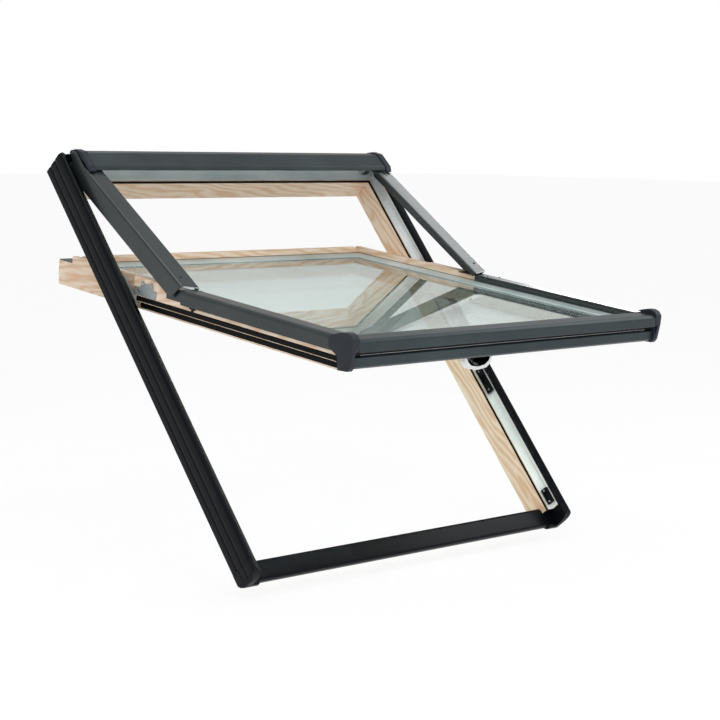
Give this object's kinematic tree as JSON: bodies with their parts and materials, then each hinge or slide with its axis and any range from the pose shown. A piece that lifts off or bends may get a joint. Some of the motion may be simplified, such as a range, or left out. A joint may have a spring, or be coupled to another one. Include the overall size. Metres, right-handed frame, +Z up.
{
  "type": "roof skylight",
  "caption": "Pitched-roof window held open: pine frame in a dark collar, glazed sash turning on side pivots, hooded head and two lift arms.",
  "frame": {"origin": "middle of the back face of the frame's sill", "axes": "+Z up, +X across to the right seen from outside, +Y towards the room; the frame rises towards +Y at 50 degrees"},
  "size_m": [0.94, 1.0033, 0.8535],
  "materials": {
    "pine": "lacquered pine",
    "collar_black": "black powder coat",
    "black_plastic": "moulded black",
    "grey_plastic": "moulded blue-grey",
    "anthracite": "anthracite satin coat",
    "plain_aluminium": "natural satin",
    "steel": "zinc plated",
    "seal": "black seal",
    "glass": "clear",
    "handle_metal": "silver"
  },
  "bodies": {
    "frame": {"frame_head": "pine", "frame_sill": "pine", "liner_head": "plain_aluminium", "frame_gasket": "seal", "sill_gasket": "seal", "collar_head": "collar_black", "collar_sill": "collar_black", "hood_cover": "anthracite", "frame_stile_left": "pine", "frame_stile_right": "pine", "liner_left": "plain_aluminium", "liner_right": "plain_aluminium", "collar_left": "collar_black", "collar_right": "collar_black", "corner_block_left": "black_plastic", "corner_block_right": "black_plastic", "hood_end_left": "grey_plastic", "hood_end_right": "grey_plastic", "hood_bracket_left": "steel", "hood_bracket_right": "steel", "arm_hinge_left": "steel", "arm_hinge_right": "steel", "frame_hinge_left": "steel", "frame_hinge_right": "steel", "keeper_upper_left": "black_plastic", "keeper_upper_right": "black_plastic", "keeper_lower_left": "black_plastic", "keeper_lower_right": "black_plastic"},
    "sash": {"sash_top_rail": "pine", "sash_bottom_rail": "pine", "glass_inner": "glass", "glass_outer": "glass", "glass_spacer": "plain_aluminium", "glazing_profile": "plain_aluminium", "glazing_gasket": "seal", "top_cover": "anthracite", "bottom_cover_upper": "anthracite", "bottom_cover_lower": "anthracite", "bottom_core": "black_plastic", "handle_base": "handle_metal", "sash_stile_left": "pine", "sash_stile_right": "pine", "side_cover_left": "anthracite", "side_cover_right": "anthracite", "cover_neck_left": "anthracite", "cover_neck_right": "anthracite", "end_cap_left": "grey_plastic", "end_cap_right": "grey_plastic", "sash_gasket_left": "seal", "sash_gasket_right": "seal", "sash_hinge_left": "steel", "sash_hinge_right": "steel"},
    "arm_l": {"arm_left": "anthracite", "arm_end_left": "steel"},
    "arm_r": {"arm_right": "anthracite", "arm_end_right": "steel"},
    "handle": {"handle_bow": "handle_metal"}
  },
  "joints": [
    {"name": "sash_pivot", "type": "hinge", "parent": "frame", "child": "sash", "pos_m": [0, 0.36204, 0.55569], "axis": [-1, 0, 0], "range_deg": [-43.72, 2]},
    {"name": "arm_pivot_l", "type": "hinge", "parent": "frame", "child": "arm_l", "pos_m": [-0.427, 0.5464, 0.80254], "axis": [-1, 0, 0], "range_deg": [-15.97, 0.8]},
    {"name": "arm_pivot_r", "type": "hinge", "parent": "frame", "child": "arm_r", "pos_m": [0.427, 0.5464, 0.80254], "axis": [-1, 0, 0], "range_deg": [-15.97, 0.8]},
    {"name": "handle_turn", "type": "hinge", "parent": "sash", "child": "handle", "pos_m": [-0.024, -0.24245, 0.44475], "axis": [1, 0, 0], "range_deg": [0, 20]}
  ],
  "couplings": [
    {"joint": "arm_pivot_l", "follows": "sash_pivot", "ratio": 0.36505},
    {"joint": "arm_pivot_r", "follows": "sash_pivot", "ratio": 0.36505}
  ]
}
